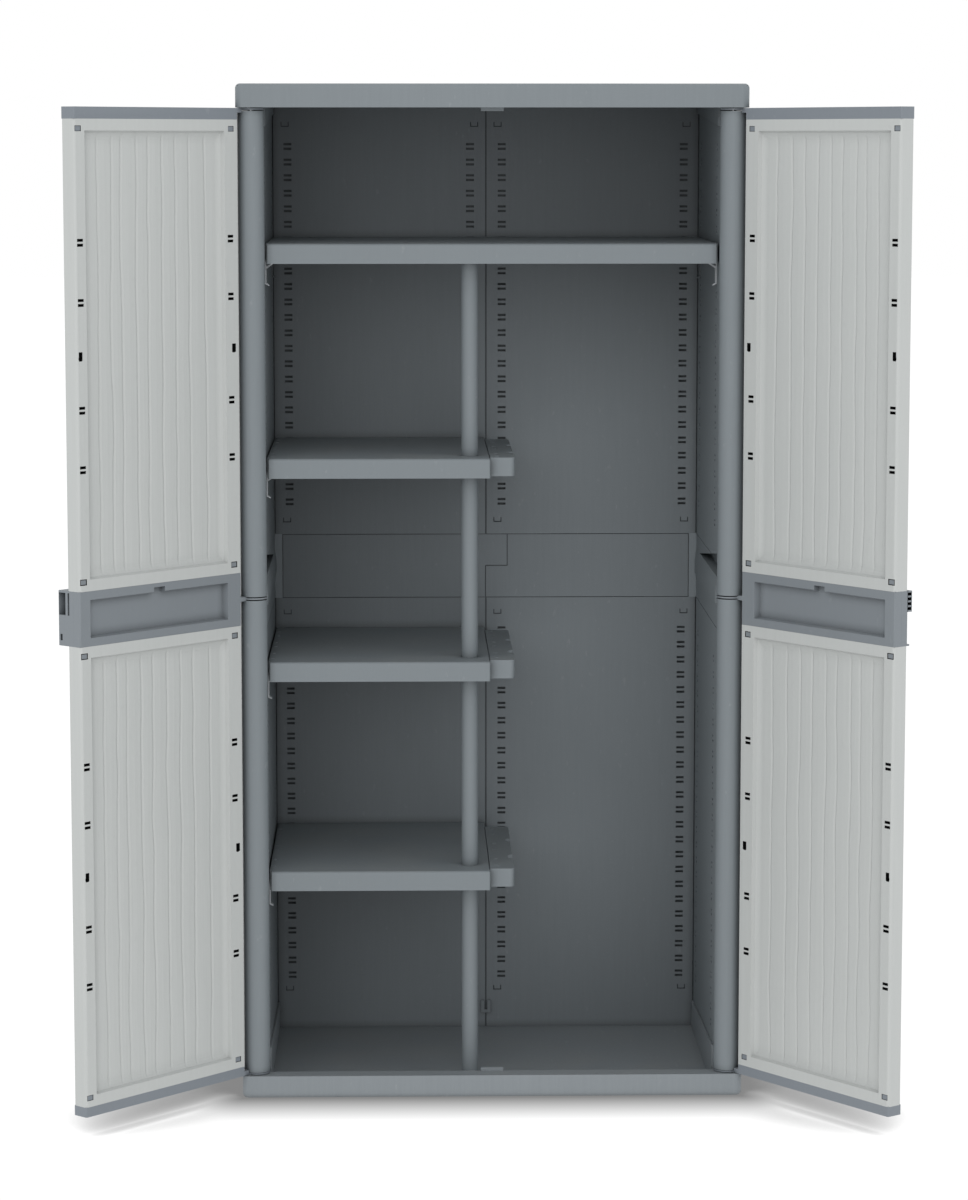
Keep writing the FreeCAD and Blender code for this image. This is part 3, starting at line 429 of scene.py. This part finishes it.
def leafLines(z0, z1, look):
    # Where the leaf's mesh has a vertex, across and upward.
    pits, keys = leafPits(z0, z1, look)
    soft = look["pitWall"]
    across = set()
    upward = set()
    for u, z, wide, tall, depth in pits:
        for edge in (u - wide / 2, u + wide / 2):
            across.update((round(edge - soft, 3), round(edge + soft, 3)))
        for edge in (z - tall / 2, z + tall / 2):
            upward.update((round(edge - soft, 3), round(edge + soft, 3)))
    for u, z in keys:
        for k in range(-4, 5):
            across.add(round(u + k * look["keyRadius"] * look["keyStep"], 3))
            upward.add(round(z + k * look["keyRadius"] * look["keyStep"], 3))
        upward.update((round(z + look["keyLength"] - soft, 3), round(z + look["keyLength"] + soft, 3)))
    first = look["hingeEdge"]
    last = look["freeEdge"]
    steps = look["roundSteps"]
    for k in range(steps + 1):
        reach = look["edgeRound"] * (1 - math.cos(math.pi / 2 * k / steps))
        across.add(round(last - reach, 3))
    across.update((first, first + look["rimStep"]))
    upward.update((z0, z1, z0 + look["rimStep"], z1 - look["rimStep"]))
    for lines, edge, way in ((across, first + look["hingeStile"], 1), (across, last - look["freeStile"], -1),
                             (upward, z0 + look["rail"], 1), (upward, z1 - look["rail"], -1)):
        for k in range(steps + 1):
            lines.add(round(edge + way * look["recessSlope"] * k / steps, 3))
        lines.add(round(edge - way * look["slopeRound"], 3))
    return sorted(across), sorted(upward), pits, keys


def edgeDrop(u, look):
    # How far the rounded free edge falls away from a flat face.
    gap = look["edgeRound"] - (look["freeEdge"] - u)
    if gap <= 0:
        return 0.0
    return look["edgeRound"] - math.sqrt(max(look["edgeRound"] ** 2 - gap ** 2, 0))


def leafDepth(u, z, z0, z1, pits, keys, look):
    # How far the inner face lies below the plane of the frame.
    first = look["hingeEdge"] + look["hingeStile"]
    last = look["freeEdge"] - look["freeStile"]
    low = z0 + look["rail"]
    high = z1 - look["rail"]
    margin = min(u - first, last - u, z - low, high - z)
    share = min(max(margin / look["recessSlope"], 0.0), 1.0)
    sink = look["recessDepth"] * (1 - (1 - share) ** look["slopeEase"])
    sink += edgeDrop(u, look)
    for pitU, pitZ, wide, tall, depth in pits:
        if abs(u - pitU) < wide / 2 and abs(z - pitZ) < tall / 2:
            sink += depth
    for keyU, keyZ in keys:
        bulb = math.hypot(u - keyU, z - keyZ) < look["keyRadius"]
        slot = abs(u - keyU) < look["keySlot"] / 2 and keyZ < z < keyZ + look["keyLength"]
        if bulb or slot:
            sink += look["pitDepth"]
    return sink


def makeLeaf(name, side, level, look):
    # One closed ring of (across, depth) per height, lofted from the foot to the head.
    z0, z1 = leafLevels[level]
    across, upward, pits, keys = leafLines(z0, z1, look)
    lipEdge = look["hingeEdge"] - look["lipReach"]
    span = look["freeEdge"] - lipEdge
    grooves = [lipEdge + k * span / (look["grooveCount"] + 1) for k in range(1, look["grooveCount"] + 1)]
    grooveEdges = {round(middle + offset * look["grooveWide"], 3)
                   for middle in grooves for offset in look["grooveLines"]}
    outerLines = sorted({lipEdge, *across} | grooveEdges)

    def outerOff(u):
        if any(abs(u - middle) < look["grooveWide"] * look["grooveFloor"] for middle in grooves):
            return look["outer"] + look["grooveDepth"]
        return look["outer"] + edgeDrop(u, look)

    lipInner = look["outer"] + look["lipThick"]
    outerSide = [(u, outerOff(u)) for u in reversed(outerLines)]
    outerSide += [(lipEdge, lipInner), (look["hingeEdge"], lipInner)]
    sunk = [[leafDepth(u, z, z0, z1, pits, keys, look) for u in across] for z in upward]
    plain = [[leafDepth(u, z, z0, z1, [], [], look) for u in across] for z in upward]
    matrix = leafPlace(side, look)
    points = []
    for z, depths in zip(upward, sunk):
        ring = [(u, look["inner"] - depth) for u, depth in zip(across, depths)] + outerSide
        points += [matrix @ Vector((u, off, z)) for u, off in ring]
    rows = len(upward)
    count = len(across) + len(outerSide)
    faces = []
    for row in range(rows - 1):
        low = row * count
        high = low + count
        for k in range(count):
            after = (k + 1) % count
            faces.append((low + k, low + after, high + after, high + k))
    faces.append(tuple(range(count)))
    faces.append(tuple(reversed(range((rows - 1) * count, rows * count))))
    mesh = bpy.data.meshes.new(name)
    mesh.from_pydata([tuple(point) for point in points], [], faces)
    mesh.validate()
    mesh.materials.append(doorPlastic)
    mesh.materials.append(hollowShadePlastic)
    # the faces that go down into a pit or a keyhole get the near-black plastic: painted shade for their deep
    # insides
    for face in mesh.polygons:
        places = [(index // count, index % count) for index in face.vertices]
        if len(places) == 4 and all(k < len(across) for row, k in places):
            if max(sunk[row][k] - plain[row][k] for row, k in places) > look["shadeBelow"]:
                face.material_index = 1
    return mesh


def fixNormals(mesh):
    solid = bmesh.new()
    solid.from_mesh(mesh)
    bmesh.ops.remove_doubles(solid, verts=solid.verts, dist=0.000001)
    bmesh.ops.recalc_face_normals(solid, faces=solid.faces)
    solid.to_mesh(mesh)
    solid.free()


def addObject(name, mesh, material=None):
    piece = bpy.data.objects.new(name, mesh)
    bpy.context.scene.collection.objects.link(piece)
    if material:
        mesh.materials.append(material)
    return piece


def boardPattern(look):
    # Upright boards pressed into one sheet: wandering V joints and a slight crown, as a closed slab.
    sizes = {"Width": 0.3, "Height": 0.7, "Thick": look["thick"] * mm, "Wander": look["wander"] * mm,
             "Joint Width": look["jointWide"] * mm, "Joint Depth": look["jointDepth"] * mm,
             "Crown": look["crown"] * mm, "Across": look["across"], "Along": look["along"],
             "Seed": float(look["seed"]), "Border Reach": look["borderReach"] * mm,
             "Border Rise": look["borderRise"] * mm}
    tree = Pattern("recessBoards", sizes)
    grid = tree.make("GeometryNodeMeshGrid", {}, {"Size X": tree.size("Width"), "Size Y": tree.size("Height"),
                                                 "Vertices X": tree.size("Across"),
                                                 "Vertices Y": tree.size("Along")})
    place = tree.make("GeometryNodeInputPosition")
    x = tree.axis(place, "X")
    y = tree.axis(place, "Y")
    notches = None
    nearest = None
    for k, share in enumerate(look["joints"]):
        line = tree.vector(X=y * look["bend"], Y=tree.size("Seed") + k * look["jointSeed"])
        drift = tree.noise(line, 1.0, 2.0)
        middle = (drift - 0.5) * tree.size("Wander") * 2 + tree.size("Width") * (0.5 - share)
        away = (x - middle).absolute()
        notch = (1 - away / tree.size("Joint Width")).clamp()
        notches = notch if notches is None else notches.most(notch)
        nearest = away if nearest is None else nearest.least(away)
    swell = (nearest * look["crownRise"]).least(1.0)
    sideGap = tree.size("Width") * 0.5 - x.absolute()
    endGap = tree.size("Height") * 0.5 - y.absolute()
    inside = (sideGap.least(endGap) / tree.size("Border Reach")).clamp()
    curl = (1 - inside).power(look["borderCurve"]) * tree.size("Border Rise")
    pressed = swell * tree.size("Crown") - notches.power(look["jointCurve"]) * tree.size("Joint Depth")
    rise = tree.vector(Z=pressed * inside + curl)
    shaped = tree.make("GeometryNodeSetPosition", {}, {"Geometry": grid, "Offset": rise})
    drop = tree.vector(Z=0 - tree.size("Thick"))
    lowered = tree.make("GeometryNodeSetPosition", {}, {"Geometry": grid, "Offset": drop})
    turned = tree.make("GeometryNodeFlipFaces", {}, [lowered])
    return tree.finish(tree.gather([shaped, turned]), doorPlastic)


def closeRim(mesh):
    # Stitches the slab's two sheets together along their borders.
    solid = bmesh.new()
    solid.from_mesh(mesh)
    rim = [edge for edge in solid.edges if edge.is_boundary]
    bmesh.ops.bridge_loops(solid, edges=rim)
    bmesh.ops.recalc_face_normals(solid, faces=solid.faces)
    solid.to_mesh(mesh)
    solid.free()


def makeBoards(tree, name, side, level, look, leaf):
    z0, z1 = leafLevels[level]
    reach = leaf["recessSlope"] - look["overlap"]
    u0 = leaf["hingeEdge"] + leaf["hingeStile"] + reach
    u1 = leaf["freeEdge"] - leaf["freeStile"] - reach
    low = z0 + leaf["rail"] + reach
    high = z1 - leaf["rail"] - reach
    seed = look["seed"] + look["lowerSeed"] * (level == "lower") + look["rightSeed"] * (side > 0)
    mesh = tree.grow(name, {"Width": (u1 - u0) * mm, "Height": (high - low) * mm, "Seed": float(seed)})
    closeRim(mesh)
    floor = leaf["inner"] - leaf["recessDepth"] + look["lift"]
    place = leafPlace(side, leaf)
    for vertex in mesh.vertices:
        x, y, z = vertex.co
        vertex.co = place @ Vector(((u0 + u1) / 2 + x / mm, floor + z / mm, (low + high) / 2 + y / mm))
    fixNormals(mesh)
    return mesh


boards = boardPattern(boardLook)
for side, hand in ((-1, "left"), (1, "right")):
    for level in ("upper", "lower"):
        leafName = hand + "_leaf_" + level
        leafMesh = makeLeaf(leafName, side, level, leafLook)
        fixNormals(leafMesh)
        leaf = addObject(leafName, leafMesh)
        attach(leaf, hand + "_door")
        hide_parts(hand + "_door_panel_" + level)
        boardName = hand + "_boards_" + level
        boardPiece = addObject(boardName, makeBoards(boards, boardName, side, level, boardLook, leafLook))
        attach(boardPiece, hand + "_door")
print("door panels made")


# raised pips along the shelf ends and the tool holders

pipLook = {
    "places": (93.0, 153.0, 248.0, 303.0, 398.0, 457.0), "frontY": -270.0, "shelfX": -391.5, "holderX": 9.5,
    "tops": (1144.2, 782.1, 404.2), "length": 9.0, "breadth": 3.6, "height": 2.2, "sides": 16, "rings": 10,
}


def pipPattern(look):
    # One row of half-sunk pips on a line of points, each an oval bead.
    sizes = {"First": look["places"][0] * mm, "Length": look["length"] * mm, "Breadth": look["breadth"] * mm,
             "Height": look["height"] * mm, "Sides": look["sides"]}
    tree = Pattern("endPips", sizes)
    bead = tree.make("GeometryNodeMeshUVSphere", {}, {"Segments": tree.size("Sides"), "Rings": look["rings"],
                                                      "Radius": 0.5})
    oval = tree.vector(X=tree.size("Length"), Y=tree.size("Breadth"), Z=tree.size("Height"))
    shaped = tree.make("GeometryNodeTransform", {}, {"Geometry": bead, "Scale": oval})
    points = []
    for place in look["places"]:
        spot = tree.vector(Y=tree.size("First") + (place - look["places"][0]) * mm)
        points.append(tree.make("GeometryNodePoints", {}, {"Count": 1, "Position": spot}))
    spread = tree.make("GeometryNodeInstanceOnPoints", {}, {"Points": tree.gather(points),
                                                            "Instance": shaped})
    return tree.finish(spread, shelfPlastic)


pips = pipPattern(pipLook)
gathered = bmesh.new()
for top in pipLook["tops"]:
    for x in (pipLook["shelfX"], pipLook["holderX"]):
        row = pips.grow("pipRow")
        row.transform(Matrix.Translation(Vector((x, pipLook["frontY"], top)) * mm))
        gathered.from_mesh(row)
pipMesh = bpy.data.meshes.new("end_pips")
gathered.to_mesh(pipMesh)
gathered.free()
pipPiece = addObject("end_pips", pipMesh, shelfPlastic)
for face in pipMesh.polygons:
    face.use_smooth = True
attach(pipPiece, "cabinet")
print("pips made")


# the walls that close the grip's pockets on the outer side of the right door, lined inside with a near-black
# sheet that paints the shade deep in the pockets

gripLook = {"start": 406.4, "end": 420.3, "linerBack": 0.4, "outer": -37.2, "skin": 1.0, "liner": 1.4,
            "low": 911.2, "high": 946.8}


def boxMesh(corner, far, place):
    # A closed box between two corners of the leaf's frame.
    solid = bmesh.new()
    bmesh.ops.create_cube(solid, size=1.0)
    for vertex in solid.verts:
        spot = [a + (b - a) * (share + 0.5) for a, b, share in zip(corner, far, vertex.co)]
        vertex.co = place @ Vector(spot)
    bmesh.ops.recalc_face_normals(solid, faces=solid.faces)
    mesh = bpy.data.meshes.new("box")
    solid.to_mesh(mesh)
    solid.free()
    return mesh


def makeLining(look):
    place = leafPlace(1, leafLook)
    inner = look["outer"] + look["skin"]
    linerEnd = look["end"] - look["linerBack"]
    liner = inner + look["liner"]
    # the outer skin is belt plastic; the inner liner is near black, painted shade
    layers = (boxMesh((look["start"], look["outer"], look["low"]), (look["end"], inner, look["high"]), place),
              boxMesh((look["start"], inner, look["low"]), (linerEnd, liner, look["high"]), place))
    joined = bmesh.new()
    for index, layer in enumerate(layers):
        before = len(joined.faces)
        joined.from_mesh(layer)
        joined.faces.ensure_lookup_table()
        for face in joined.faces[before:]:
            face.material_index = index
    mesh = bpy.data.meshes.new("grip_lining")
    joined.to_mesh(mesh)
    joined.free()
    mesh.materials.append(beltPlastic)
    mesh.materials.append(hollowShadePlastic)
    return mesh


gripPiece = addObject("grip_lining", makeLining(gripLook))
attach(gripPiece, "right_door")
print("grip lining made")


# the floor, the light and the camera

floorLook = {
    "half": 40.0, "matt": 0.25, "bounce": 0.63, "shadowReach": 0.4, "shadowSamples": 64, "leanOut": 0.5,
    "leanFront": -0.85, "shadowPower": 4.5, "shadowGain": 2.6, "darkest": 0.24, "brightest": 1.05,
    "footprint": (0.447, 0.27), "contactReach": 0.15, "contactDark": 0.24,
}


def makeFloor(look):
    # White for the camera, with a painted soft shadow of the object; a pale bounce for every other ray.
    mesh = bpy.data.meshes.new("studioFloor")
    half = look["half"]
    corners = [(-half, -half, 0), (half, -half, 0), (half, half, 0), (-half, half, 0)]
    mesh.from_pydata(corners, [], [(0, 1, 2, 3)])
    graph = Graph("floorWhite")
    grey = look["matt"]
    matt = graph.make("ShaderNodeBsdfDiffuse", {}, {"Color": (grey, grey, grey, 1)})
    sheen = graph.make("ShaderNodeEmission", {}, {"Color": (1, 1, 1, 1), "Strength": look["bounce"]})
    plain = graph.make("ShaderNodeAddShader", {}, [matt, sheen])
    # the painted shadow leans back and inward, because the light comes from the front
    place = graph.make("ShaderNodeTexCoord", output="Object")
    ordinates = [graph.axis(place, letter) for letter in ("X", "Y")]
    lean = graph.vector(X=ordinates[0] * look["leanOut"], Y=look["leanFront"], Z=1.0)
    lean = graph.make("ShaderNodeVectorMath", {"operation": "NORMALIZE"}, [lean])
    near = graph.make("ShaderNodeAmbientOcclusion", {"samples": look["shadowSamples"]},
                      {"Distance": look["shadowReach"], "Normal": lean}, "AO")
    shadow = near.power(look["shadowPower"]) * look["shadowGain"]
    # a painted contact shadow around the base's footprint, darkest at the base
    gaps = [(ordinate.absolute() - reach).most(0.0)
            for ordinate, reach in zip(ordinates, look["footprint"])]
    away = (gaps[0] * gaps[0] + gaps[1] * gaps[1]).power(0.5)
    contact = away / look["contactReach"] * (1 - look["contactDark"]) + look["contactDark"]
    soft = shadow.most(look["darkest"]).least(contact).least(look["brightest"])
    glow = graph.make("ShaderNodeEmission", {}, {"Color": (1, 1, 1, 1), "Strength": soft})
    shader = graph.make("ShaderNodeMixShader", {}, [graph.directRays(), plain, glow])
    mesh.materials.append(graph.finish(shader))
    addObject("studioFloor", mesh)


lightRig = {
    "worldStrength": 0.85, "worldColour": (0.97, 0.985, 1.0, 1), "keyPower": 63.0, "keySize": 4.0,
    "keyPlace": (-0.7, -6.6, 3.2), "keyAim": (0, 0, 0.9),
}


def makeLight(rig):
    world = bpy.data.worlds.new("studioWorld")
    bpy.context.scene.world = world
    world.use_nodes = True
    sky = Board()
    sky.tree = world.node_tree
    sky.tree.nodes.clear()
    dome = sky.make("ShaderNodeBackground", {}, {"Color": rig["worldColour"],
                                                 "Strength": rig["worldStrength"]})
    white = sky.make("ShaderNodeBackground", {}, {"Color": (1, 1, 1, 1)})
    mixed = sky.make("ShaderNodeMixShader", {}, [sky.directRays(), dome, white])
    out = sky.tree.nodes.new("ShaderNodeOutputWorld")
    sky.tree.links.new(mixed.link, out.inputs["Surface"])
    lamp = bpy.data.lights.new("softKey", "AREA")
    lamp.energy = rig["keyPower"]
    lamp.size = rig["keySize"]
    key = bpy.data.objects.new("softKey", lamp)
    bpy.context.scene.collection.objects.link(key)
    key.location = rig["keyPlace"]
    aim = Vector(rig["keyAim"]) - key.location
    key.rotation_euler = aim.to_track_quat("-Z", "Y").to_euler()


# fitted to the photograph's corners and edges
cameraRig = {
    "place": (-0.16265, -6.8192, 1.70127), "lens": 112.32, "sensor": 36.0, "dip": 6.993, "turn": -1.289,
    "far": 100.0,
}


def makeCamera(rig):
    lens = bpy.data.cameras.new("viewCamera")
    lens.lens = rig["lens"]
    lens.sensor_width = rig["sensor"]
    lens.sensor_fit = "AUTO"
    lens.clip_end = rig["far"]
    viewer = bpy.data.objects.new("viewCamera", lens)
    bpy.context.scene.collection.objects.link(viewer)
    viewer.location = rig["place"]
    viewer.rotation_euler = (math.radians(90 - rig["dip"]), 0.0, math.radians(rig["turn"]))
    bpy.context.scene.camera = viewer


makeFloor(floorLook)
makeLight(lightRig)
makeCamera(cameraRig)
bpy.context.scene.view_settings.view_transform = "Standard"
print("stage set")
